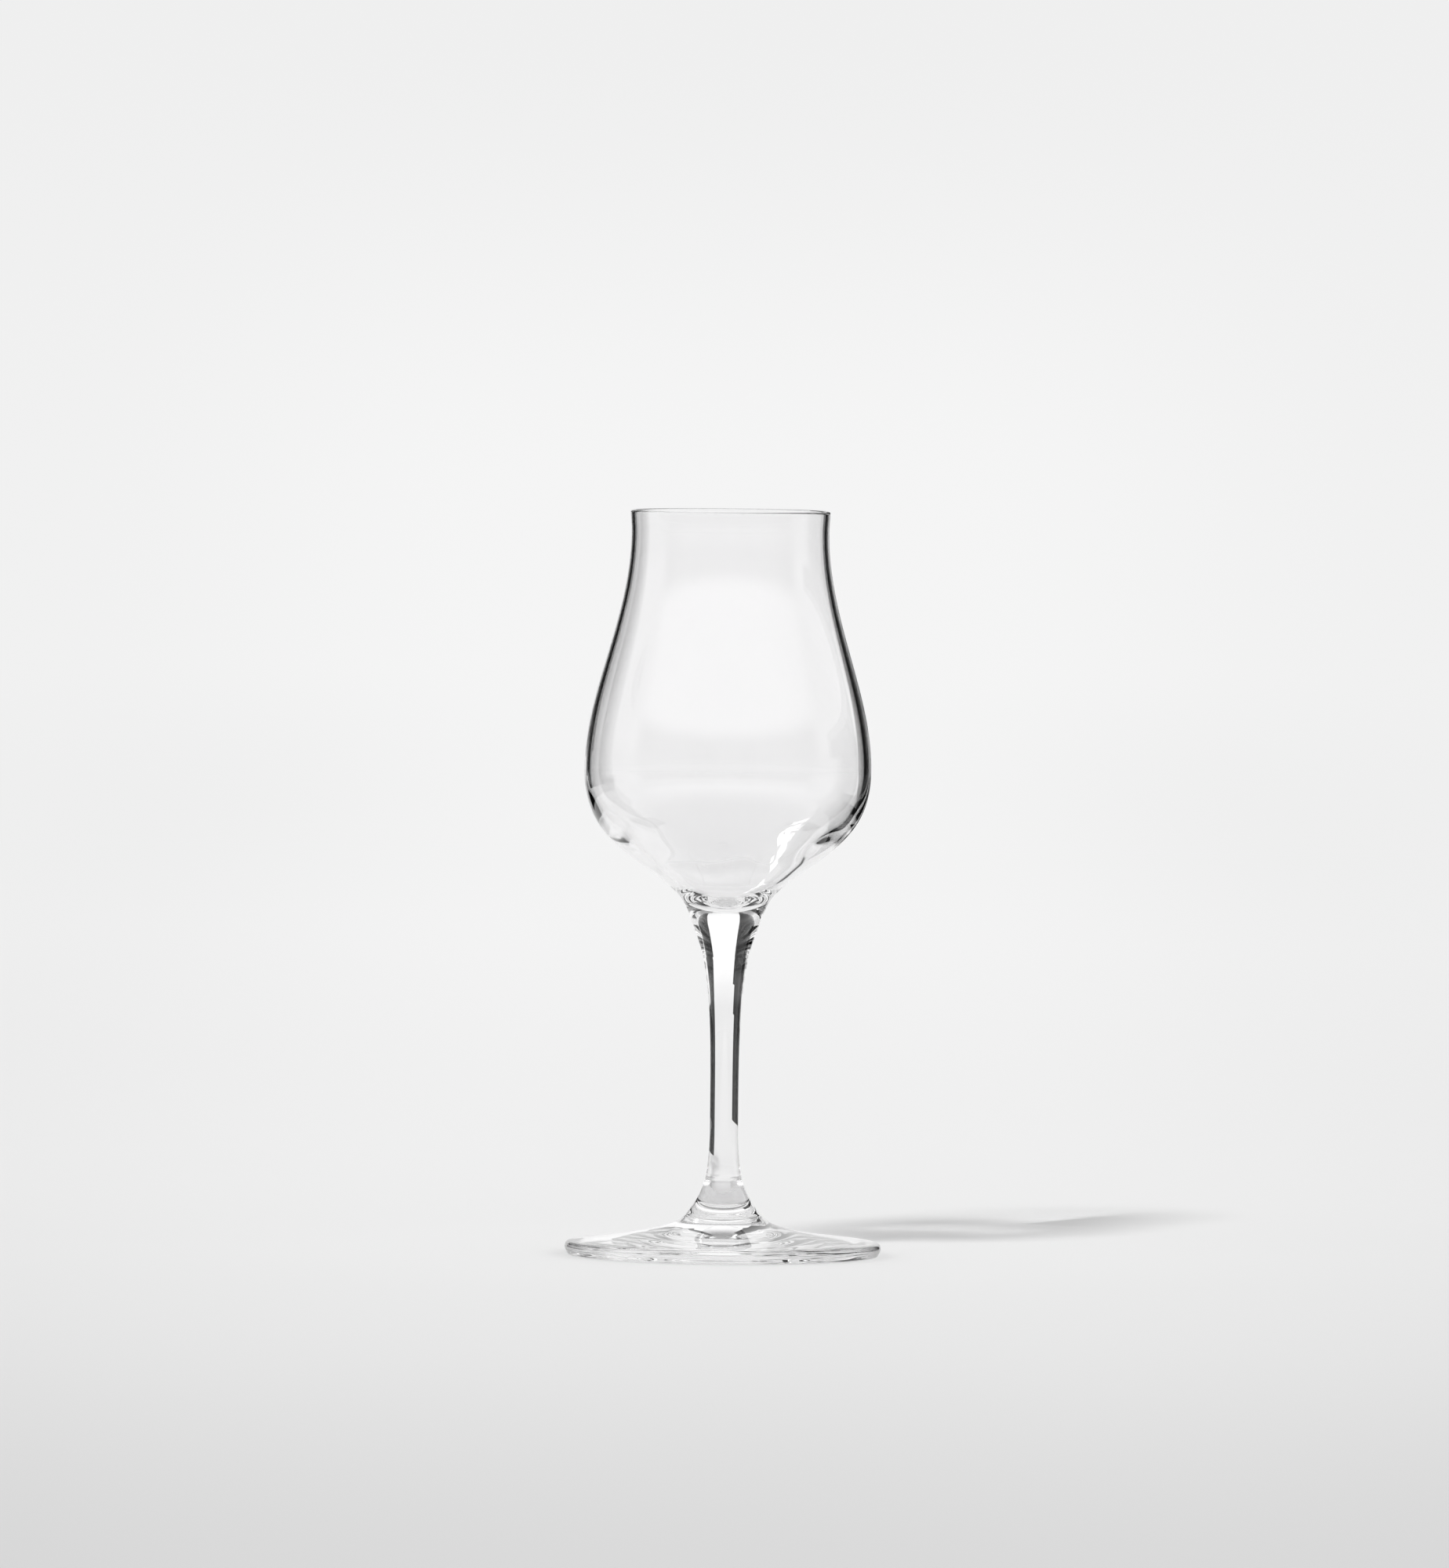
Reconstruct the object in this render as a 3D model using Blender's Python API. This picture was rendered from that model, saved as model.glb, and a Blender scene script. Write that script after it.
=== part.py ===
"""Whisky tasting glass of clear glass: a blown bowl, a pressed stem and a pressed foot, fused at two seams.

Metres, +Z up. The glass stands on the XY plane with its axis on Z. Each piece is turned from a profile that
is measured from the piece's own lower end, and the piece is then placed at the height where it is fused on.
"""

import math
from typing import NamedTuple

import bmesh
import bpy
from mathutils import Vector
from mathutils.geometry import interpolate_bezier

# Foot: a round plate that rises in its middle to a boss, drawn up to the stem. It stands on a flat ring.
# The boss's rise is measured from the top of the edge.
FOOT_RADIUS = 0.0353
FOOT_HEIGHT = 0.0166
BOSS_RADIUS = 0.0109
BOSS_RISE = 0.0040
BOSS_LEAN = math.radians(67)
PLATE_LEAN = math.radians(83)
RING_WIDTH = 0.0040
DOME_RISE = 0.0012

# Edge of the foot: rounded above, widest at its own height, and tucked in towards the ring below.
EDGE_THICKNESS = 0.0031
EDGE_ROUND = 0.0017
EDGE_HEIGHT = 0.0016
EDGE_TUCK = 0.0008
EDGE_LEAN = math.radians(-35)

# Lower seam, where the stem is fused to the foot.
LOWER_SEAM_RADIUS = 0.0042
LOWER_SEAM_LEAN = math.radians(14)

# Stem: a rod that draws in to a waist.
STEM_LENGTH = 0.0500
WAIST_RADIUS = 0.0032
WAIST_RISE = 0.0142

# Upper seam, where the bowl is fused to the stem.
UPPER_SEAM_RADIUS = 0.0052
UPPER_SEAM_LEAN = math.radians(-14)

# Bowl, outer side, from its lower end upwards. Each rise is measured from the station before it.
STUB_RADIUS = 0.0082
STUB_RISE = 0.0088
STUB_LEAN = math.radians(-19)
CONE_RADIUS = 0.0204
CONE_RISE = 0.0121
CONE_LEAN = math.radians(-54)
BELLY_RADIUS = 0.0320
BELLY_RISE = 0.0206
NECK_RADIUS = 0.0221
NECK_RISE = 0.0525
RIM_RADIUS = 0.0223
RIM_RISE = 0.0049

# Bowl, inner side: wall thicknesses, and how far the bottom of the well lies under the cone's outer station.
RIM_WALL = 0.0010
BELLY_WALL = 0.0014
CONE_WALL = 0.0019
WELL_DROP = 0.0110

# Clear height left at each seam, so that the fused faces stay two faces.
SEAM_CLEARANCE = 0.0003

# Directions of a wall that is upright, or level and going in, from straight down.
UPRIGHT = 0.0
LEVEL_IN = math.radians(-90)

# Reach of a curve's handles, as a share of the straight distance between its two ends.
SHORT_PULL = 0.25
EASY_PULL = 0.32
LONG_PULL = 0.36
ROUND_PULL = 0.41
STRAIGHT_PULL = 0.52

# Facets around the axis, along a curve, along a short curve, and around a half-round edge.
TURN_FACETS = 52
CURVE_FACETS = 8
SHORT_FACETS = 3
EDGE_FACETS = 6
MERGE_DISTANCE = 1e-6
SHARP_ANGLE = math.radians(50)

# Clear glass, faintly cool.
GLASS_COLOR = (0.96, 0.98, 0.98, 1.0)
GLASS_ROUGHNESS = 0.02
GLASS_IOR = 1.52


class Station(NamedTuple):
    """A point that an outline passes through on its way down, and how it passes.

    The lean is the direction of travel, turned from straight down towards the outside. The pulls are the
    reach of the curve's handles above and below the point.
    """

    radius: float
    height: float
    lean: float = UPRIGHT
    pull_above: float = EASY_PULL
    pull_below: float = EASY_PULL
    facets_below: int = CURVE_FACETS

    def point(self):
        return Vector((self.radius, 0.0, self.height))

    def direction(self):
        return Vector((math.sin(self.lean), 0.0, -math.cos(self.lean)))


def outline(stations):
    """Return the points of a smooth curve down through the stations."""
    points = [stations[0].point()]
    for above, below in zip(stations, stations[1:]):
        chord = (below.point() - above.point()).length
        handle_above = above.point() + above.direction() * above.pull_below * chord
        handle_below = below.point() - below.direction() * below.pull_above * chord
        points += interpolate_bezier(
            above.point(), handle_above, handle_below, below.point(), above.facets_below + 1
        )[1:]
    return points


def arc(centre_radius, centre_height, size, start, end):
    """Return the points between the two ends of an arc. Angles are from level, outwards, turning up."""
    angles = [start + (end - start) * step / EDGE_FACETS for step in range(1, EDGE_FACETS)]
    return [
        Vector((centre_radius + size * math.cos(angle), 0.0, centre_height + size * math.sin(angle)))
        for angle in angles
    ]


def foot_profile():
    """Boss that runs out into the plate, edge, flat ring, and the shallow dome that the ring surrounds."""
    ring_radius = FOOT_RADIUS - EDGE_TUCK
    dome_radius = ring_radius - RING_WIDTH
    side = outline([
        Station(LOWER_SEAM_RADIUS, FOOT_HEIGHT, LOWER_SEAM_LEAN),
        Station(BOSS_RADIUS, EDGE_THICKNESS + BOSS_RISE, BOSS_LEAN, SHORT_PULL, SHORT_PULL),
        Station(FOOT_RADIUS - EDGE_ROUND, EDGE_THICKNESS, PLATE_LEAN, pull_below=STRAIGHT_PULL,
                facets_below=EDGE_FACETS),
        Station(FOOT_RADIUS, EDGE_HEIGHT, pull_above=ROUND_PULL, facets_below=SHORT_FACETS),
        Station(ring_radius, 0.0, EDGE_LEAN),
    ])
    sphere_radius = (dome_radius ** 2 + DOME_RISE ** 2) / (2 * DOME_RISE)
    dome = []
    for step in range(CURVE_FACETS + 1):
        radius = dome_radius * (1 - step / CURVE_FACETS)
        height = math.sqrt(sphere_radius ** 2 - radius ** 2) - (sphere_radius - DOME_RISE)
        dome.append(Vector((radius, 0.0, height)))
    return [Vector((0.0, 0.0, FOOT_HEIGHT))] + side + dome


def stem_profile():
    """Rod between the two seam faces, drawn in at the waist."""
    side = outline([
        Station(UPPER_SEAM_RADIUS, STEM_LENGTH, UPPER_SEAM_LEAN, pull_below=SHORT_PULL),
        Station(WAIST_RADIUS, WAIST_RISE),
        Station(LOWER_SEAM_RADIUS, 0.0, LOWER_SEAM_LEAN),
    ])
    return [Vector((0.0, 0.0, STEM_LENGTH))] + side + [Vector((0.0, 0.0, 0.0))]


def bowl_profile():
    """Inner side from the bottom of the well up to the lip, over the lip, and down the outer side."""
    stub_height = STUB_RISE
    cone_height = stub_height + CONE_RISE
    belly_height = cone_height + BELLY_RISE
    neck_height = belly_height + NECK_RISE
    half_lip = RIM_WALL / 2
    lip_height = neck_height + RIM_RISE - half_lip
    outer = outline([
        Station(RIM_RADIUS, lip_height, facets_below=SHORT_FACETS),
        Station(NECK_RADIUS, neck_height, pull_below=LONG_PULL),
        Station(BELLY_RADIUS, belly_height, pull_below=ROUND_PULL),
        Station(CONE_RADIUS, cone_height, CONE_LEAN, pull_above=ROUND_PULL, pull_below=STRAIGHT_PULL),
        Station(STUB_RADIUS, stub_height, STUB_LEAN, pull_below=SHORT_PULL, facets_below=SHORT_FACETS),
        Station(UPPER_SEAM_RADIUS, 0.0, UPPER_SEAM_LEAN),
    ])
    inner = outline([
        Station(RIM_RADIUS - RIM_WALL, lip_height, facets_below=SHORT_FACETS),
        Station(NECK_RADIUS - RIM_WALL, neck_height, pull_below=LONG_PULL),
        Station(BELLY_RADIUS - BELLY_WALL, belly_height, pull_below=ROUND_PULL),
        Station(CONE_RADIUS - CONE_WALL * math.cos(CONE_LEAN), cone_height - CONE_WALL * math.sin(CONE_LEAN),
                CONE_LEAN, pull_above=ROUND_PULL, pull_below=ROUND_PULL),
        Station(0.0, cone_height - WELL_DROP, LEVEL_IN),
    ])
    lip = arc(RIM_RADIUS - half_lip, lip_height, half_lip, math.pi, 0.0)
    return inner[::-1] + lip + outer + [Vector((0.0, 0.0, 0.0))]


def turned_mesh(name, profile):
    """Spin a profile that starts and ends on the axis into one closed body."""
    shape = bmesh.new()
    corners = [shape.verts.new(point) for point in profile]
    sides = [shape.edges.new(pair) for pair in zip(corners, corners[1:])]
    bmesh.ops.spin(
        shape, geom=corners + sides, cent=(0, 0, 0), axis=(0, 0, 1),
        angle=math.tau, steps=TURN_FACETS, use_merge=True,
    )
    bmesh.ops.remove_doubles(shape, verts=shape.verts, dist=MERGE_DISTANCE)
    bmesh.ops.recalc_face_normals(shape, faces=shape.faces)
    mesh = bpy.data.meshes.new(name)
    shape.to_mesh(mesh)
    shape.free()
    mesh.shade_smooth()
    mesh.set_sharp_from_angle(angle=SHARP_ANGLE)
    return mesh


def clear_glass(name):
    """Polished clear glass."""
    material = bpy.data.materials.new(name)
    material.use_nodes = True
    finish = material.node_tree.nodes["Principled BSDF"].inputs
    finish["Base Color"].default_value = GLASS_COLOR
    finish["Metallic"].default_value = 0.0
    finish["Roughness"].default_value = GLASS_ROUGHNESS
    finish["IOR"].default_value = GLASS_IOR
    finish["Transmission Weight"].default_value = 1.0
    return material


def add_piece(name, profile, height, assembly):
    """Turn a piece and place its lower end at a height on the axis."""
    mesh = turned_mesh(name, profile)
    mesh.materials.append(clear_glass(name + "_glass"))
    piece = bpy.data.objects.new(name, mesh)
    piece.location.z = height
    piece.parent = assembly
    bpy.context.scene.collection.objects.link(piece)


def main():
    """Clear the scene and build the glass from the foot up."""
    for leftover in list(bpy.data.objects):
        bpy.data.objects.remove(leftover)
    assembly = bpy.data.objects.new("tasting_glass", None)
    bpy.context.scene.collection.objects.link(assembly)
    stem_base = FOOT_HEIGHT + SEAM_CLEARANCE
    bowl_base = stem_base + STEM_LENGTH + SEAM_CLEARANCE
    add_piece("foot", foot_profile(), 0.0, assembly)
    add_piece("stem", stem_profile(), stem_base, assembly)
    add_piece("bowl", bowl_profile(), bowl_base, assembly)


main()
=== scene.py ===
"""Looks of a whisky tasting glass of clear glass, standing alone in a bright studio.

Metres, +Z up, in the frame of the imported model. The glass is three pieces, each turned from a smooth
profile: a blown bowl, a pressed stem and a pressed foot. They meet at two fused seams, so light runs through
all three as through one body of glass.
"""

import logging
import math
from dataclasses import dataclass
from enum import Enum

import bpy
import numpy as np
from mathutils import Matrix, Vector


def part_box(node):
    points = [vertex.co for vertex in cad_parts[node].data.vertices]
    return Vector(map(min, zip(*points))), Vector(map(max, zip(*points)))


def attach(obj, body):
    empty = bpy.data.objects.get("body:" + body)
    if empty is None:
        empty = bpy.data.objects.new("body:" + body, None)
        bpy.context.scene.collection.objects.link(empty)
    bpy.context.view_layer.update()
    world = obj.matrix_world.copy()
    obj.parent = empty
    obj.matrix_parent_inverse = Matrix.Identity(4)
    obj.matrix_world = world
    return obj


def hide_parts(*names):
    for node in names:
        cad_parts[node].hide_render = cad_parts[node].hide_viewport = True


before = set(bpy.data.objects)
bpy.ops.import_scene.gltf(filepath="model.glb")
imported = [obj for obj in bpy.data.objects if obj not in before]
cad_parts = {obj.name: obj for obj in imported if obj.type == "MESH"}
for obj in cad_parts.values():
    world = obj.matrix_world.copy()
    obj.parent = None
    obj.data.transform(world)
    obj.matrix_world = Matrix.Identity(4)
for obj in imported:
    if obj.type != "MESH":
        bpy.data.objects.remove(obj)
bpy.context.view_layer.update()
LOG = logging.getLogger("tasting_glass")

Array = np.ndarray
Colour = tuple[float, float, float, float]
Triple = tuple[float, float, float]
Span = tuple[float, float]

MILLIMETRE = 0.001
GOLDEN_ANGLE = math.pi * (3.0 - math.sqrt(5.0))
SHARP_ANGLE = math.radians(50)
LEVEL_IN = -90.0
WAVE_DIRECTIONS = 9
WHITE: Colour = (1.0, 1.0, 1.0, 1.0)
BODY = "root"


class Pull(Enum):
    """Reach of an outline's handle, as a share of the straight distance between two stations."""

    SHORT = 0.25
    EASY = 0.32
    LONG = 0.36
    ROUND = 0.41
    STRAIGHT = 0.52


class Face(Enum):
    """Material slot of a face: glass that meets the air, or glass that is fused to the next piece."""

    OPEN = 0
    FUSED = 1


@dataclass(frozen=True)
class Station:
    """A point that an outline passes through on its way down, and how it passes.

    The lean is the direction of travel, in degrees, turned from straight down towards the outside.
    """

    radius: float
    height: float
    lean: float = 0.0
    pull_above: Pull = Pull.EASY
    pull_below: Pull = Pull.EASY

    def point(self) -> Array:
        """Radius and height as one pair."""
        return np.array([self.radius, self.height])

    def direction(self) -> Array:
        """Unit step along the outline, as radius and height."""
        angle = math.radians(self.lean)
        return np.array([math.sin(angle), -math.cos(angle)])


def outline(stations: list[Station], facets: int) -> Array:
    """Smooth curve down through the stations.

    Each span between stations a and d is a cubic curve: with t from 0 to 1, the point is
    (1-t)^3 a + 3(1-t)^2 t b + 3(1-t) t^2 c + t^3 d, where b lies along the direction at a and c lies back
    along the direction at d, each by its pull times the straight distance from a to d.

    Args:
        stations: the points to pass through, from the top down.
        facets: straight pieces along each span.

    Returns:
        Rows of radius and height, from the first station to the last.
    """
    points = np.array([station.point() for station in stations])
    directions = np.array([station.direction() for station in stations])
    leaving = np.array([station.pull_below.value for station in stations[:-1]])[:, None]
    arriving = np.array([station.pull_above.value for station in stations[1:]])[:, None]
    starts, ends = points[:-1], points[1:]
    chords = np.linalg.norm(ends - starts, axis=1, keepdims=True)
    first_handles = starts + directions[:-1] * leaving * chords
    second_handles = ends - directions[1:] * arriving * chords
    t = np.linspace(0.0, 1.0, facets, endpoint=False)[None, :, None]
    curve = (
        (1 - t) ** 3 * starts[:, None]
        + 3 * (1 - t) ** 2 * t * first_handles[:, None]
        + 3 * (1 - t) * t ** 2 * second_handles[:, None]
        + t ** 3 * ends[:, None]
    )
    return np.vstack([curve.reshape(-1, 2), ends[-1:]])


def round_edge(radius: float, height: float, size: float, start: float, end: float, facets: int) -> Array:
    """Arc of a rounded edge: radius + size cos(angle), height + size sin(angle), without its two ends.

    Args:
        radius: distance of the arc's centre from the axis.
        height: height of the arc's centre.
        size: radius of the arc itself.
        start: first angle in degrees, from level and outwards, turning up.
        end: last angle in degrees.
        facets: straight pieces along the arc.

    Returns:
        Rows of radius and height.
    """
    angles = np.radians(np.linspace(start, end, facets + 1)[1:-1])
    return np.column_stack([radius + size * np.cos(angles), height + size * np.sin(angles)])


def groove(profile: Array, height: float, depth: float, reach: float) -> Array:
    """Draw a profile in at one height.

    The radius loses depth times exp(-(distance from the height / reach)^2).

    Args:
        profile: rows of radius and height.
        height: height of the groove's floor.
        depth: how far the groove cuts in.
        reach: height over which the groove fades.

    Returns:
        A new profile.
    """
    drawn = profile.copy()
    drawn[:, 0] -= depth * np.exp(-((profile[:, 1] - height) / reach) ** 2)
    return drawn


def turned(profile: Array, columns: int) -> Array:
    """Carry a profile round the axis: x = r cos(a), y = r sin(a), z = height.

    Args:
        profile: rows of radius and height, with the first and the last row on the axis.
        columns: steps round the axis.

    Returns:
        Grid of points, one row for each profile row and one column for each step.
    """
    angles = np.linspace(0.0, math.tau, columns, endpoint=False)
    radius, height = profile[:, :1], profile[:, 1:]
    return np.stack(np.broadcast_arrays(radius * np.cos(angles), radius * np.sin(angles), height), axis=-1)


def smooth_rise(value: Array, low: float, high: float) -> Array:
    """Share from 0 at low to 1 at high, easing at both ends: 3s^2 - 2s^3, where s is the straight share."""
    share = np.clip((value - low) / (high - low), 0.0, 1.0)
    return share * share * (3.0 - 2.0 * share)


def aimless_waves(points: Array, pitch: float) -> Array:
    """Smooth waves without a common direction.

    The height at p is the sum of sin(2 pi (p . d) / pitch + phase) over the directions d, divided by the
    root of their number. The directions climb a half sphere in even steps, each turned by the golden angle
    from the one before, and the phase is the square of the direction's number.

    Args:
        points: places, with x, y and z in the last axis.
        pitch: distance from crest to crest along a direction.

    Returns:
        The height at each place, mostly from -1 to 1.
    """
    number = np.arange(WAVE_DIRECTIONS)
    climb = (number + 0.5) / WAVE_DIRECTIONS
    level = np.sqrt(1.0 - climb ** 2)
    turn = GOLDEN_ANGLE * number
    directions = np.stack([level * np.cos(turn), level * np.sin(turn), climb])
    waves = np.sin(points @ directions * (math.tau / pitch) + number ** 2)
    return waves.sum(axis=-1) / math.sqrt(WAVE_DIRECTIONS)


def sheet(name: str, grid: Array) -> bpy.types.Mesh:
    """Open mesh over a grid of points, with one quad between each pair of rows and columns.

    Args:
        name: name of the mesh.
        grid: points as rows and columns.

    Returns:
        The mesh.
    """
    rows, columns = grid.shape[:2]
    numbers = np.arange(rows * columns).reshape(rows, columns)
    quads = np.stack([numbers[:-1, :-1], numbers[:-1, 1:], numbers[1:, 1:], numbers[1:, :-1]], axis=-1)
    mesh = bpy.data.meshes.new(name)
    mesh.from_pydata(grid.reshape(-1, 3).tolist(), [], quads.reshape(-1, 4).tolist())
    return mesh


def skin(name: str, grid: Array, faces: Array) -> bpy.types.Mesh:
    """Closed mesh over a turned grid whose first and last rows have shrunk to poles.

    The corners are the first pole, the rows between, and the last pole. Between two rows each pair of
    columns gives one quad, and at a pole one triangle.

    Args:
        name: name of the mesh.
        grid: points as rows and columns, with the profile running so that its left-hand side is air.
        faces: material slot of each band between two rows.

    Returns:
        The mesh, smooth apart from its sharp edges.
    """
    rows, columns = grid.shape[:2]
    corners = np.vstack([grid[0, :1], grid[1:-1].reshape(-1, 3), grid[-1, :1]])
    numbers = 1 + np.arange((rows - 2) * columns).reshape(rows - 2, columns)
    beside = np.roll(numbers, -1, axis=1)
    first_pole = np.zeros(columns, dtype=int)
    last_pole = np.full(columns, len(corners) - 1)
    first_fan = np.stack([first_pole, numbers[0], beside[0]], axis=-1)
    quads = np.stack([numbers[:-1], numbers[1:], beside[1:], beside[:-1]], axis=-1)
    last_fan = np.stack([numbers[-1], last_pole, beside[-1]], axis=-1)
    loops = np.concatenate([first_fan.ravel(), quads.ravel(), last_fan.ravel()])
    sides = np.concatenate([np.full(columns, 3), np.full(quads[..., 0].size, 4), np.full(columns, 3)])
    starts = np.concatenate([[0], np.cumsum(sides)[:-1]])

    mesh = bpy.data.meshes.new(name)
    mesh.vertices.add(len(corners))
    mesh.vertices.foreach_set("co", corners.astype(np.float32).ravel())
    mesh.loops.add(len(loops))
    mesh.loops.foreach_set("vertex_index", loops.astype(np.int32))
    mesh.polygons.add(len(sides))
    mesh.polygons.foreach_set("loop_start", starts.astype(np.int32))
    mesh.polygons.foreach_set("material_index", np.repeat(faces, columns).astype(np.int32))
    mesh.update(calc_edges=True)
    mesh.validate()
    mesh.shade_smooth()
    mesh.set_sharp_from_angle(angle=SHARP_ANGLE)
    return mesh


@dataclass
class Wiring:
    """Adds nodes to one node tree and links them."""

    tree: bpy.types.NodeTree

    def add(self, kind: str, inputs: dict | None = None, **settings) -> bpy.types.Node:
        """Add a node.

        Args:
            kind: Blender's name of the node type.
            inputs: value, or socket to link from, for each input by name or number.
            settings: properties of the node itself.

        Returns:
            The new node.
        """
        node = self.tree.nodes.new(kind)
        for name, value in settings.items():
            setattr(node, name, value)
        for name, value in (inputs or {}).items():
            if isinstance(value, bpy.types.NodeSocket):
                self.tree.links.new(value, node.inputs[name])
            else:
                node.inputs[name].default_value = value
        return node

    def ramp(self, value: bpy.types.NodeSocket, low: float, high: float,
             at_low: float | bpy.types.NodeSocket,
             at_high: float | bpy.types.NodeSocket) -> bpy.types.NodeSocket:
        """Map a value smoothly from one range to another, held at both ends.

        Args:
            value: what is mapped.
            low: value that gives at_low.
            high: value that gives at_high.
            at_low: result at the low end.
            at_high: result at the high end.

        Returns:
            The result's socket.
        """
        inputs = {"Value": value, "From Min": low, "From Max": high, "To Min": at_low, "To Max": at_high}
        return self.add("ShaderNodeMapRange", inputs, interpolation_type="SMOOTHSTEP").outputs["Result"]

    def compute(self, operation: str, *values: float | bpy.types.NodeSocket) -> bpy.types.NodeSocket:
        """Work out one value from one or two others.

        Args:
            operation: Blender's name of the operation.
            values: what it works on, in order.

        Returns:
            The result's socket.
        """
        return self.add("ShaderNodeMath", dict(enumerate(values)), operation=operation).outputs["Value"]


@dataclass(frozen=True)
class ClearGlass:
    """Polished clear glass, with faint waves left by the forming, and a polish that handling has varied."""

    name: str
    colour: Colour = (0.996, 0.994, 0.997, 1.0)
    refraction: float = 1.51
    polish_fine: float = 0.0
    polish_dull: float = 0.02
    polish_span: Span = (0.45, 0.75)
    polish_scale: float = 90.0
    polish_detail: float = 3.0
    polish_grain: float = 0.55
    wave_stretch: Triple = (1.0, 1.0, 1.0)
    wave_scale: float = 120.0
    wave_detail: float = 1.0
    wave_grain: float = 0.4
    wave_depth: float = 0.02 * MILLIMETRE
    wave_strength: float = 0.05

    def material(self) -> bpy.types.Material:
        """Glass shader with its roughness and its waves driven by noise on Object coordinates.

        Returns:
            The material.
        """
        material = bpy.data.materials.new(self.name)
        material.use_nodes = True
        material.node_tree.nodes.clear()
        wiring = Wiring(material.node_tree)
        place = wiring.add("ShaderNodeTexCoord").outputs["Object"]
        drawn = wiring.add("ShaderNodeMapping", {"Vector": place, "Scale": self.wave_stretch})
        waves = wiring.add("ShaderNodeTexNoise", {
            "Vector": drawn.outputs["Vector"], "Scale": self.wave_scale,
            "Detail": self.wave_detail, "Roughness": self.wave_grain,
        })
        bump = wiring.add("ShaderNodeBump", {
            "Height": waves.outputs["Fac"], "Strength": self.wave_strength, "Distance": self.wave_depth,
        })
        handling = wiring.add("ShaderNodeTexNoise", {
            "Vector": place, "Scale": self.polish_scale,
            "Detail": self.polish_detail, "Roughness": self.polish_grain,
        })
        touched = handling.outputs["Fac"]
        polish = wiring.ramp(touched, *self.polish_span, self.polish_fine, self.polish_dull)
        glass = wiring.add("ShaderNodeBsdfPrincipled", {
            "Base Color": self.colour, "IOR": self.refraction, "Transmission Weight": 1.0,
            "Roughness": polish, "Normal": bump.outputs["Normal"],
        })
        wiring.add("ShaderNodeOutputMaterial", {"Surface": glass.outputs["BSDF"]})
        return material


@dataclass(frozen=True)
class FusedSeam:
    """Glass fused to glass: nothing is left of the two faces, so light runs on as if there were none."""

    name: str = "fused_seam"
    colour: Colour = WHITE

    def material(self) -> bpy.types.Material:
        """Shader that shows nothing.

        Returns:
            The material.
        """
        material = bpy.data.materials.new(self.name)
        material.use_nodes = True
        seam = material.node_tree.nodes["Principled BSDF"].inputs
        seam["Base Color"].default_value = self.colour
        seam["Alpha"].default_value = 0.0
        return material


@dataclass
class Seams:
    """The two planes where the pieces are fused, with the fine groove that runs round each."""

    lower_height: float
    upper_height: float
    lower_radius: float = 4.2 * MILLIMETRE
    upper_radius: float = 5.2 * MILLIMETRE
    lower_lean: float = 14.0
    upper_lean: float = -14.0
    lower_groove: float = 0.09 * MILLIMETRE
    upper_groove: float = 0.03 * MILLIMETRE
    groove_reach: float = 0.35 * MILLIMETRE

    def mark(self, profile: Array) -> Array:
        """Cut both grooves into a profile."""
        lower = groove(profile, self.lower_height, self.lower_groove, self.groove_reach)
        return groove(lower, self.upper_height, self.upper_groove, self.groove_reach)


@dataclass
class TurnedPiece:
    """A piece of glass turned from a profile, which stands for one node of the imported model."""

    node: str
    slot: str
    seams: Seams
    shades_floor: bool = True

    def shape(self) -> tuple[Array, Array]:
        """Grid of the piece's points, and the material slot of each band."""
        raise NotImplementedError

    def build(self, name: str) -> bpy.types.Object:
        """Make the piece's object at the origin, with its place in its mesh.

        Args:
            name: name of the piece.

        Returns:
            The object.
        """
        grid, faces = self.shape()
        piece = bpy.data.objects.new(name, skin(name, grid, faces))
        bpy.context.scene.collection.objects.link(piece)
        piece.cycles.is_caustics_caster = self.shades_floor
        piece.visible_shadow = self.shades_floor
        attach(piece, BODY)
        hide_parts(self.node)
        LOG.info("%s: %d faces, stands for %s", name, len(piece.data.polygons), self.node)
        return piece

    def dress(self, piece: bpy.types.Object, glass: ClearGlass, seam: bpy.types.Material) -> None:
        """Give the piece its glass, and the seam's finish where it is fused on.

        Args:
            piece: the built piece.
            glass: finish of its open faces.
            seam: material of its fused faces.
        """
        piece.data.materials.append(glass.material())
        piece.data.materials.append(seam)
        LOG.info("%s: finished in %s", piece.name, glass.name)


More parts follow.
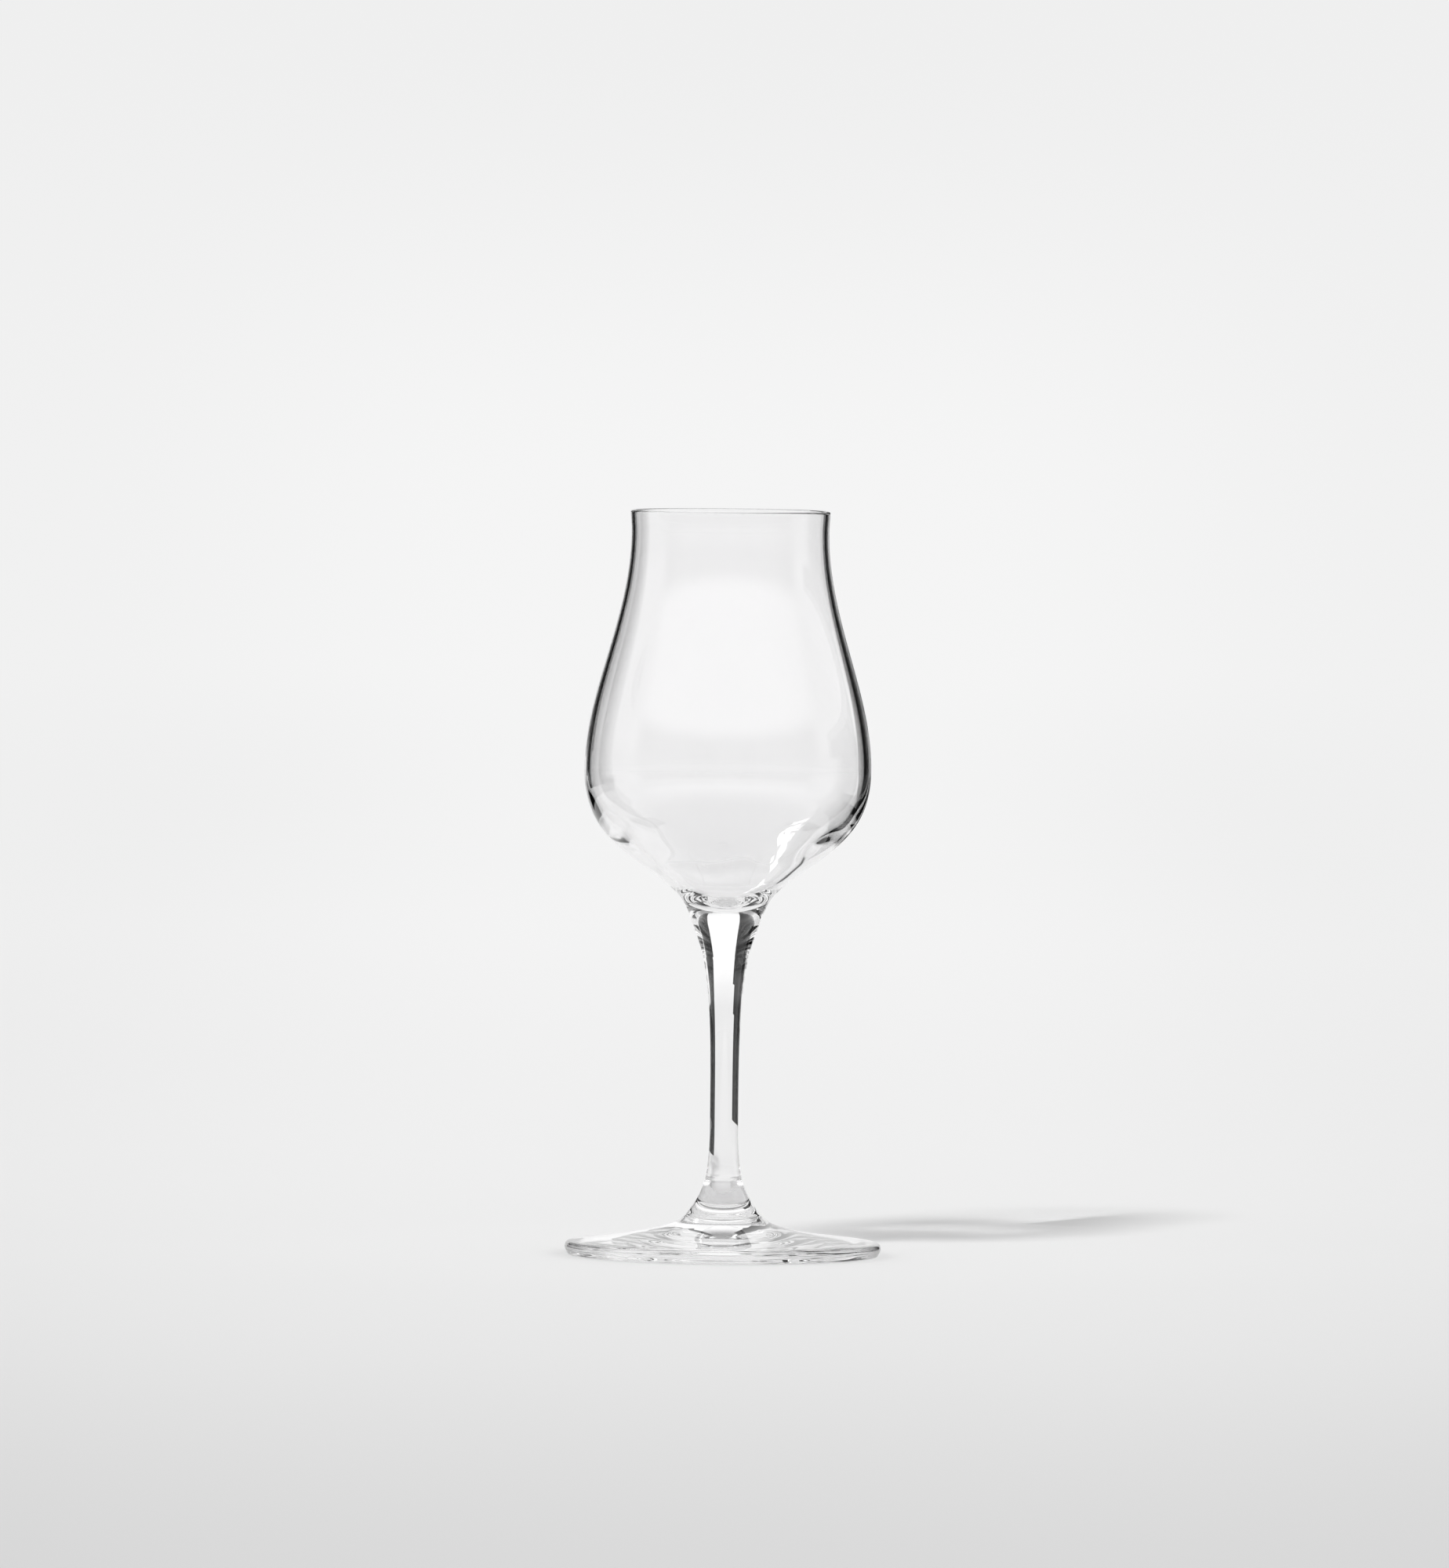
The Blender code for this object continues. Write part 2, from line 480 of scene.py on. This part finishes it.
@dataclass
class Bowl(TurnedPiece):
    """Blown tulip bowl with a drawn-in mouth, over the short solid stub that runs down to the upper seam.

    Inside, the wall has drifted off the axis, by less at the rim: the drift loss is the share that is gone
    there. Waves of the blowing set in at the wave start, a share of the way from the well up to the cone.
    """

    rim_height: float = 0.0
    belly_radius: float = 0.0
    stub_radius: float = 8.2 * MILLIMETRE
    stub_rise: float = 8.8 * MILLIMETRE
    stub_lean: float = -19.0
    cone_radius: float = 20.4 * MILLIMETRE
    cone_rise: float = 12.1 * MILLIMETRE
    cone_lean: float = -54.0
    belly_rise: float = 20.6 * MILLIMETRE
    neck_radius: float = 22.1 * MILLIMETRE
    rim_radius: float = 22.3 * MILLIMETRE
    rim_rise: float = 4.9 * MILLIMETRE
    rim_wall: float = 1.0 * MILLIMETRE
    belly_wall: float = 1.4 * MILLIMETRE
    cone_wall: float = 2.5 * MILLIMETRE
    well_drop: float = 10.2 * MILLIMETRE
    drift: float = 0.15 * MILLIMETRE
    drift_loss: float = 0.6
    wave_start: float = 0.4
    wave_depth: float = 0.07 * MILLIMETRE
    wave_pitch: float = 9.5 * MILLIMETRE
    facets: int = 40
    lip_facets: int = 12
    columns: int = 256

    def heights(self) -> dict[str, float]:
        """Heights above the table.

        Returns:
            The height of each station of the outer side, by its name.
        """
        stub = self.seams.upper_height + self.stub_rise
        cone = stub + self.cone_rise
        return {
            "stub": stub,
            "cone": cone,
            "belly": cone + self.belly_rise,
            "neck": self.rim_height - self.rim_rise,
            "lip": self.rim_height - self.rim_wall / 2,
        }

    def outer(self) -> Array:
        """Outer side.

        Returns:
            Rows of radius and height, from the lip down to the upper seam.
        """
        height = self.heights()
        return outline([
            Station(self.rim_radius, height["lip"]),
            Station(self.neck_radius, height["neck"], pull_below=Pull.LONG),
            Station(self.belly_radius, height["belly"], pull_below=Pull.ROUND),
            Station(self.cone_radius, height["cone"], self.cone_lean, Pull.ROUND, Pull.STRAIGHT),
            Station(self.stub_radius, height["stub"], self.stub_lean, pull_below=Pull.SHORT),
            Station(self.seams.upper_radius, self.seams.upper_height, self.seams.upper_lean),
        ], self.facets)

    def inner(self) -> Array:
        """Inner side.

        Returns:
            Rows of radius and height, from the lip down to the bottom of the well.
        """
        height = self.heights()
        lean = math.radians(self.cone_lean)
        return outline([
            Station(self.rim_radius - self.rim_wall, height["lip"]),
            Station(self.neck_radius - self.rim_wall, height["neck"], pull_below=Pull.LONG),
            Station(self.belly_radius - self.belly_wall, height["belly"], pull_below=Pull.ROUND),
            Station(self.cone_radius - self.cone_wall * math.cos(lean),
                    height["cone"] - self.cone_wall * math.sin(lean),
                    self.cone_lean, Pull.ROUND, Pull.STRAIGHT),
            Station(0.0, height["cone"] - self.well_drop, LEVEL_IN, Pull.SHORT),
        ], self.facets)

    def shape(self) -> tuple[Array, Array]:
        """Inner side upwards, over the rounded lip, and down the outer side to the fused face.

        Returns:
            The grid of points and the material slot of each band.
        """
        half_lip = self.rim_wall / 2
        lip = round_edge(
            self.rim_radius - half_lip, self.heights()["lip"], half_lip,
            start=180.0, end=0.0, facets=self.lip_facets,
        )
        side = self.seams.mark(self.outer())
        profile = np.vstack([self.inner()[::-1], lip, side, [[0.0, self.seams.upper_height]]])
        faces = np.full(len(profile) - 1, Face.OPEN.value)
        faces[-1] = Face.FUSED.value
        grid = turned(profile, self.columns)
        inside = slice(0, len(self.inner()))
        swell = 1.0 + self.waves(grid[inside]) / np.maximum(profile[inside, :1], self.stub_radius)
        drift = self.drift * self.unevenness(grid[inside])
        grid[inside, :, :2] *= swell[..., None]
        grid[inside, :, 0] -= drift
        return grid, faces

    def waves(self, grid: Array) -> Array:
        """Waves left by the blowing, low down inside: they set in over the well and fade towards the belly.

        Args:
            grid: points of the inner side.

        Returns:
            The outward shift at each point.
        """
        height = self.heights()
        well = height["cone"] - self.well_drop
        start = well + self.wave_start * (height["cone"] - well)
        fade = smooth_rise(grid[..., 2], start, height["cone"])
        fade = fade * (1.0 - smooth_rise(grid[..., 2], height["cone"], height["belly"]))
        return self.wave_depth * fade * aimless_waves(grid, self.wave_pitch)

    def unevenness(self, grid: Array) -> Array:
        """Share by which the inner side has drifted off the axis: none at the well's pole, less at the rim.

        Args:
            grid: points of the inner side.

        Returns:
            The share at each point.
        """
        height = self.heights()
        rise = smooth_rise(grid[..., 2], height["cone"] - self.well_drop, height["belly"])
        return rise * (1.0 - self.drift_loss * smooth_rise(grid[..., 2], height["belly"], height["neck"]))


@dataclass
class Stem(TurnedPiece):
    """Pressed rod between the two seams, drawn in to a waist."""

    waist_radius: float = 3.2 * MILLIMETRE
    waist_rise: float = 14.2 * MILLIMETRE
    facets: int = 90
    columns: int = 160

    def shape(self) -> tuple[Array, Array]:
        """Fused face, side and fused face, from the top down.

        Returns:
            The grid of points and the material slot of each band.
        """
        seams = self.seams
        side = seams.mark(outline([
            Station(seams.upper_radius, seams.upper_height, seams.upper_lean, pull_below=Pull.SHORT),
            Station(self.waist_radius, seams.lower_height + self.waist_rise),
            Station(seams.lower_radius, seams.lower_height, seams.lower_lean),
        ], self.facets))
        profile = np.vstack([[[0.0, seams.upper_height]], side, [[0.0, seams.lower_height]]])
        faces = np.full(len(profile) - 1, Face.OPEN.value)
        faces[[0, -1]] = Face.FUSED.value
        return turned(profile, self.columns), faces


@dataclass
class Foot(TurnedPiece):
    """Pressed round plate on a flat ring round a shallow dome, with a boss drawn up to the lower seam.

    The ripples of the pressing set in at one radius and are full at the next, then fade and end.
    """

    radius: float = 0.0
    boss_radius: float = 10.9 * MILLIMETRE
    boss_rise: float = 4.0 * MILLIMETRE
    boss_lean: float = 67.0
    plate_lean: float = 83.0
    edge_thickness: float = 3.1 * MILLIMETRE
    edge_round: float = 1.7 * MILLIMETRE
    edge_height: float = 1.6 * MILLIMETRE
    edge_tuck: float = 0.55 * MILLIMETRE
    edge_lean: float = -24.0
    corner: float = 0.28 * MILLIMETRE
    ring_width: float = 4.0 * MILLIMETRE
    dome_rise: float = 1.2 * MILLIMETRE
    groove_height: float = 8.6 * MILLIMETRE
    groove_depth: float = 0.12 * MILLIMETRE
    groove_reach: float = 0.45 * MILLIMETRE
    ripple: float = 0.06 * MILLIMETRE
    ripple_pitch: float = 15.0 * MILLIMETRE
    ripple_start: float = 9.0 * MILLIMETRE
    ripple_full: float = 12.6 * MILLIMETRE
    ripple_fade: float = 30.6 * MILLIMETRE
    ripple_end: float = 34.0 * MILLIMETRE
    facets: int = 90
    edge_facets: int = 14
    dome_facets: int = 80
    columns: int = 288

    def ring_radius(self) -> float:
        """Outer radius of the flat ring that the foot stands on."""
        return self.radius - self.edge_tuck - self.corner

    def plate_end(self) -> Station:
        """Outer end of the plate's upper side, where the edge begins."""
        radius = self.radius - self.edge_round
        return Station(radius, self.edge_thickness, self.plate_lean, pull_below=Pull.STRAIGHT)

    def top(self) -> Array:
        """Upper side.

        Returns:
            Rows of radius and height, from the lower seam down the boss and out over the plate.
        """
        boss_height = self.edge_thickness + self.boss_rise
        return outline([
            Station(self.seams.lower_radius, self.seams.lower_height, self.seams.lower_lean),
            Station(self.boss_radius, boss_height, self.boss_lean, Pull.SHORT, Pull.SHORT),
            self.plate_end(),
        ], self.facets)

    def edge(self) -> Array:
        """Edge between the plate and the ring.

        Returns:
            Rows of radius and height, from the plate round and down, without the plate's last point.
        """
        return outline([
            self.plate_end(),
            Station(self.radius, self.edge_height, pull_above=Pull.ROUND),
            Station(self.radius - self.edge_tuck, self.corner, self.edge_lean),
            Station(self.ring_radius(), 0.0, LEVEL_IN, Pull.ROUND),
        ], self.edge_facets)[1:]

    def dome(self) -> Array:
        """Shallow dome inside the flat ring: the cap, dome_rise high, of a sphere.

        Returns:
            Rows of radius and height, from the ring in to the axis.
        """
        reach = self.ring_radius() - self.ring_width
        sphere = (reach ** 2 + self.dome_rise ** 2) / (2 * self.dome_rise)
        radius = np.linspace(reach, 0.0, self.dome_facets)
        return np.column_stack([radius, np.sqrt(sphere ** 2 - radius ** 2) - (sphere - self.dome_rise)])

    def shape(self) -> tuple[Array, Array]:
        """Fused face, upper side with its pressing ripples, edge, ring and dome.

        Returns:
            The grid of points and the material slot of each band.
        """
        top = groove(self.seams.mark(self.top()), self.groove_height, self.groove_depth, self.groove_reach)
        profile = np.vstack([[[0.0, self.seams.lower_height]], top, self.edge(), self.dome()])
        faces = np.full(len(profile) - 1, Face.OPEN.value)
        faces[0] = Face.FUSED.value
        grid = turned(profile, self.columns)
        upper = slice(1, 1 + len(top))
        grid[upper, :, 2] += self.ripples(grid[upper])
        return grid, faces

    def ripples(self, grid: Array) -> Array:
        """Height that the pressing left on the upper side: waves that fade towards the boss and the edge.

        Args:
            grid: points of the upper side.

        Returns:
            The rise at each point.
        """
        radius = np.hypot(grid[..., 0], grid[..., 1])
        fade = smooth_rise(radius, self.ripple_start, self.ripple_full)
        fade = fade * (1.0 - smooth_rise(radius, self.ripple_fade, self.ripple_end))
        return self.ripple * fade * aimless_waves(grid, self.ripple_pitch)


@dataclass(frozen=True)
class Card:
    """Upright card on an arc round the glass, seen only by light that the glass bends or mirrors.

    Angles are in degrees, from straight behind the glass towards the right. The low side climbs by the slope
    along the arc, the first end turns by the lean on its way up, and the card fades out towards its ends.
    """

    name: str
    start: float
    end: float
    distance: float
    low: float
    high: float
    slope: float = 0.0
    lean: float = 0.0
    fade_start: float = 1.0
    fade_end: float = 1.0
    tone: float = 0.008
    glow: float = 0.0
    mirrored: bool = True
    seen_through: bool = True
    steps: int = 25

    def build(self) -> bpy.types.Object:
        """Arc of a cylinder: x = d sin(a), y = d cos(a), z from low to high.

        Returns:
            The card's object.
        """
        starts = np.array([self.start, self.start + self.lean])
        angles = np.radians(np.linspace(starts, self.end, self.steps, axis=1))
        low_side = np.linspace(self.low, self.low + self.slope, self.steps)
        heights = np.stack([low_side, np.full(self.steps, self.high)])
        grid = np.stack(np.broadcast_arrays(
            self.distance * np.sin(angles), self.distance * np.cos(angles), heights
        ), axis=-1)
        card = bpy.data.objects.new(self.name, sheet(self.name, grid))
        bpy.context.scene.collection.objects.link(card)
        card.data.materials.append(self.material())
        card.visible_camera = False
        card.visible_diffuse = False
        card.visible_shadow = False
        card.visible_glossy = self.mirrored
        card.visible_transmission = self.seen_through
        return card

    def material(self) -> bpy.types.Material:
        """Matt card of one tone, which may glow, thinned to nothing at both ends of its arc.

        Returns:
            The material.
        """
        material = bpy.data.materials.new(self.name)
        material.use_nodes = True
        material.node_tree.nodes.clear()
        wiring = Wiring(material.node_tree)
        place = wiring.add("ShaderNodeTexCoord").outputs["Object"]
        axes = wiring.add("ShaderNodeSeparateXYZ", {"Vector": place})
        angle = wiring.compute("DEGREES", wiring.compute("ARCTAN2", axes.outputs["X"], axes.outputs["Y"]))
        start = self.start + min(self.lean, 0.0)
        first = wiring.ramp(angle, start, start + self.fade_start, 0.0, 1.0)
        share = wiring.ramp(angle, self.end - self.fade_end, self.end, first, 0.0)
        surface = wiring.add("ShaderNodeBsdfPrincipled", {
            "Base Color": (self.tone, self.tone, self.tone, 1.0), "Specular IOR Level": 0.0,
            "Emission Color": WHITE, "Emission Strength": self.glow, "Alpha": share,
        })
        wiring.add("ShaderNodeOutputMaterial", {"Surface": surface.outputs["BSDF"]})
        return material


CARDS = (
    Card("card_right_low", 29.0, 80.0, 0.143, 0.0, 0.065, fade_end=10.0),
    Card("card_right_middle", 29.0, 56.0, 0.143, 0.065, 0.105, lean=-6.3, fade_end=8.0),
    Card("card_right_tall", 22.7, 56.0, 0.143, 0.105, 0.20, fade_end=8.0),
    Card("card_right_rim", 16.0, 23.5, 0.143, 0.065, 0.20, seen_through=False),
    Card("card_right_near", 92.0, 121.0, 0.038, 0.056, 0.0755, mirrored=False),
    Card("card_left_near", -121.0, -92.0, 0.038, 0.058, 0.0755, mirrored=False),
    Card("card_left_low", -78.0, -23.6, 0.505, 0.0, 0.06, slope=0.0032),
    Card("card_left_middle", -75.0, -20.0, 0.505, 0.06, 0.10, fade_start=20.0),
    Card("card_left_tall", -75.0, -15.8, 0.505, 0.10, 0.50, fade_start=20.0),
    Card("window_near", -41.0, -36.0, 0.40, 0.43, 0.53, glow=6.0),
    Card("window_far", -35.4, -30.5, 0.40, 0.43, 0.53, glow=6.0),
)


@dataclass(frozen=True)
class PaperFloor:
    """Square of pale paper just under the glass, with a pool of light painted into its tone.

    Close to the glass the paper runs from the painted front shade to the near tone over the near span, from
    front to back. Far from the glass it runs to the far tone over the far span, and the depth span is the
    distance over which the first gives way to the second. These tones are painted shade and light, not the
    fall of any lamp. At either side painted shade takes off the side loss over the side span.
    It turns to haze over the haze span, and the haze fades out over the end span.
    """

    reach: float = 4.7
    drop: float = 0.1 * MILLIMETRE
    lines: int = 3
    painted_front_shade: float = 0.68
    near_tone: float = 0.868
    near_span: Span = (-1.2, 0.245)
    far_tone: float = 0.92
    far_span: Span = (-0.49, 0.163)
    depth_span: Span = (0.163, 2.44)
    painted_side_shade_loss: float = 0.045
    painted_side_shade_span: Span = (0.05, 0.22)
    haze_level: float = 0.98
    haze_span: Span = (1.41, 2.256)
    end_span: Span = (2.35, 4.465)

    def build(self) -> bpy.types.Object:
        """Lay the floor flat.

        Returns:
            The floor's object.
        """
        along = np.linspace(-self.reach, self.reach, self.lines)
        grid = np.stack(np.broadcast_arrays(along, along[:, None], -self.drop), axis=-1)
        floor = bpy.data.objects.new("floor", sheet("floor", grid))
        bpy.context.scene.collection.objects.link(floor)
        floor.data.materials.append(self.material())
        floor.cycles.is_caustics_receiver = True
        return floor

    def material(self) -> bpy.types.Material:
        """Matt pale paper, darker in front and at the sides by painted shade, and fading out far away.

        Returns:
            The material.
        """
        material = bpy.data.materials.new("pale_paper")
        material.use_nodes = True
        material.node_tree.nodes.clear()
        wiring = Wiring(material.node_tree)
        place = wiring.add("ShaderNodeTexCoord").outputs["Object"]
        axes = wiring.add("ShaderNodeSeparateXYZ", {"Vector": place})
        reach = wiring.add("ShaderNodeVectorMath", {0: place}, operation="LENGTH").outputs["Value"]
        aside = wiring.compute("ABSOLUTE", axes.outputs["X"])
        # painted shade: the paper's tone darkens towards the front and the sides, a painted pool of light
        # round the glass
        near = wiring.ramp(axes.outputs["Y"], *self.near_span, self.painted_front_shade, self.near_tone)
        far = wiring.ramp(axes.outputs["Y"], *self.far_span, self.painted_front_shade, self.far_tone)
        depth = wiring.ramp(reach, *self.depth_span, near, far)
        side = wiring.ramp(aside, *self.painted_side_shade_span, 1.0, 1.0 - self.painted_side_shade_loss)
        tone = wiring.compute("MULTIPLY", depth, side)
        paper = wiring.add("ShaderNodeBsdfDiffuse", {"Color": tone}).outputs["BSDF"]
        level = self.seen_haze(wiring)
        haze = wiring.add("ShaderNodeEmission", {"Color": tone, "Strength": level}).outputs["Emission"]
        gone = wiring.add("ShaderNodeBsdfTransparent").outputs["BSDF"]
        haze_share = wiring.ramp(reach, *self.haze_span, 0.0, 1.0)
        end_share = wiring.ramp(reach, *self.end_span, 0.0, 1.0)
        ground = wiring.add("ShaderNodeMixShader", {"Fac": haze_share, 1: paper, 2: haze}).outputs["Shader"]
        blend = wiring.add("ShaderNodeMixShader", {"Fac": end_share, 1: ground, 2: gone}).outputs["Shader"]
        wiring.add("ShaderNodeOutputMaterial", {"Surface": blend})
        material.cycles.emission_sampling = "NONE"
        return material

    def seen_haze(self, wiring: Wiring) -> bpy.types.NodeSocket:
        """Level of the haze: full for the camera and the glass, and none for light that lands on things.

        Args:
            wiring: the floor's nodes.

        Returns:
            The level's socket.
        """
        rays = wiring.add("ShaderNodeLightPath").outputs
        bent = wiring.compute("MAXIMUM", rays["Is Glossy Ray"], rays["Is Transmission Ray"])
        seen = wiring.compute("MAXIMUM", rays["Is Camera Ray"], bent)
        return wiring.ramp(seen, 0.0, 1.0, 0.0, self.haze_level)


@dataclass(frozen=True)
class Surroundings:
    """World light by direction: pale all round, softer overhead, and darker low down in front.

    A span is the range of a ray's direction over which one level runs into the next. It is read on the ray's
    rise, apart from the aside span, on its way to either side, and the turn span, on its way to the back.
    """

    horizon_span: Span = (-0.0202, 0.005)
    middle_levels: Span = (0.911, 0.865)
    edge_levels: Span = (0.878, 0.865)
    aside_span: Span = (0.012, 0.0395)
    back_span: Span = (0.02, 0.16)
    back_level: float = 1.06
    dim_span: Span = (-0.02, 0.12)
    dim_levels: Span = (0.72, 0.4)
    front_span: Span = (0.20, 0.33)
    front_level: float = 1.4
    turn_span: Span = (-0.30, -0.05)
    overhead_span: Span = (0.50, 0.80)
    overhead_level: float = 0.28

    def build(self) -> None:
        """Make the world, from the levels behind the glass, in front of it and overhead."""
        world = bpy.data.worlds.new("studio")
        bpy.context.scene.world = world
        world.use_nodes = True
        world.node_tree.nodes.clear()
        wiring = Wiring(world.node_tree)
        ray = wiring.add("ShaderNodeTexCoord").outputs["Generated"]
        axes = wiring.add("ShaderNodeSeparateXYZ", {"Vector": ray})
        rise = axes.outputs["Z"]
        aside = wiring.compute("ABSOLUTE", axes.outputs["X"])
        middle = wiring.ramp(rise, *self.horizon_span, *self.middle_levels)
        edge = wiring.ramp(rise, *self.horizon_span, *self.edge_levels)
        low = wiring.ramp(aside, *self.aside_span, middle, edge)
        back = wiring.ramp(rise, *self.back_span, low, self.back_level)
        dim = wiring.ramp(rise, *self.dim_span, *self.dim_levels)
        front = wiring.ramp(rise, *self.front_span, dim, self.front_level)
        level = wiring.ramp(axes.outputs["Y"], *self.turn_span, front, back)
        light = wiring.ramp(rise, *self.overhead_span, level, self.overhead_level)
        sky = wiring.add("ShaderNodeBackground", {"Color": WHITE, "Strength": light})
        wiring.add("ShaderNodeOutputWorld", {"Surface": sky.outputs["Background"]})


@dataclass(frozen=True)
class Studio:
    """Pale floor without a visible end, pale surroundings, one key lamp, and cards that draw the edges."""

    key_direction: Triple = (-0.334, -0.645, 0.686)
    key_angle: float = 9.0
    key_strength: float = 1.62
    inner_bounces: int = 24

    def build(self) -> None:
        """Make the floor, the surroundings, the lamp and the cards, and let light run far inside glass."""
        PaperFloor().build()
        Surroundings().build()
        self.key_lamp()
        for card in CARDS:
            card.build()
        light = bpy.context.scene.cycles
        light.max_bounces = self.inner_bounces
        light.glossy_bounces = self.inner_bounces
        light.transmission_bounces = self.inner_bounces

    def key_lamp(self) -> None:
        """Distant soft lamp, high at the left and in front, which leaves no spot of its own on the glass."""
        lamp = bpy.data.lights.new("key_lamp", "SUN")
        lamp.angle = math.radians(self.key_angle)
        lamp.energy = self.key_strength
        lamp.cycles.is_caustics_light = True
        place = bpy.data.objects.new("key_lamp", lamp)
        place.rotation_mode = "QUATERNION"
        place.rotation_quaternion = Vector(self.key_direction).to_track_quat("Z", "Y")
        place.visible_glossy = False
        place.visible_transmission = False
        bpy.context.scene.collection.objects.link(place)


@dataclass
class PhotoCamera:
    """Long lens in front of the glass, a little above it."""

    distance: float = 4.03
    height: float = 0.2535
    aim: Triple = (-0.0007, 0.0, 0.1051)
    lens: float = 415.2
    sensor: float = 36.0
    roll: float = 0.62

    def build(self) -> None:
        """Place the camera, turn it to its aim and make it the scene's camera."""
        data = bpy.data.cameras.new("photo_camera")
        data.lens = self.lens
        data.sensor_width = self.sensor
        camera = bpy.data.objects.new("photo_camera", data)
        aim = Vector(self.aim)
        camera.location = Vector((self.aim[0], -self.distance, self.height))
        look = (aim - camera.location).to_track_quat("-Z", "Y").to_matrix()
        roll = Matrix.Rotation(math.radians(self.roll), 3, "Z")
        camera.rotation_mode = "QUATERNION"
        camera.rotation_quaternion = (look @ roll).to_quaternion()
        bpy.context.scene.collection.objects.link(camera)
        bpy.context.scene.camera = camera


def seams_of_frame() -> Seams:
    """Seam planes half-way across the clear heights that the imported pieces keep.

    Returns:
        The seams.
    """
    foot_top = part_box("foot")[1].z
    stem_low, stem_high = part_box("stem")
    bowl_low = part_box("bowl")[0].z
    return Seams((foot_top + stem_low.z) / 2, (stem_high.z + bowl_low) / 2)


def main() -> None:
    """Build the glass from the bowl down, then the studio and the camera."""
    logging.basicConfig(level=logging.INFO, format="%(name)s: %(message)s")
    bpy.context.scene.view_settings.view_transform = "Standard"
    seams = seams_of_frame()
    fused = FusedSeam().material()

    bowl_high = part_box("bowl")[1]
    bowl = Bowl("bowl", "bowl_glass", seams, rim_height=bowl_high.z, belly_radius=bowl_high.x)
    bowl.dress(bowl.build("blown_bowl"), ClearGlass("blown_glass"), fused)
    stem = Stem("stem", "stem_glass", seams)
    stem.dress(stem.build("pressed_stem"), ClearGlass("drawn_glass", wave_stretch=(1.0, 1.0, 0.2)), fused)
    foot = Foot("foot", "foot_glass", seams, shades_floor=False, radius=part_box("foot")[1].x)
    foot.dress(foot.build("pressed_foot"), ClearGlass("pressed_glass", wave_scale=150.0), fused)

    Studio().build()
    PhotoCamera().build()


if __name__ == "__main__":
    main()
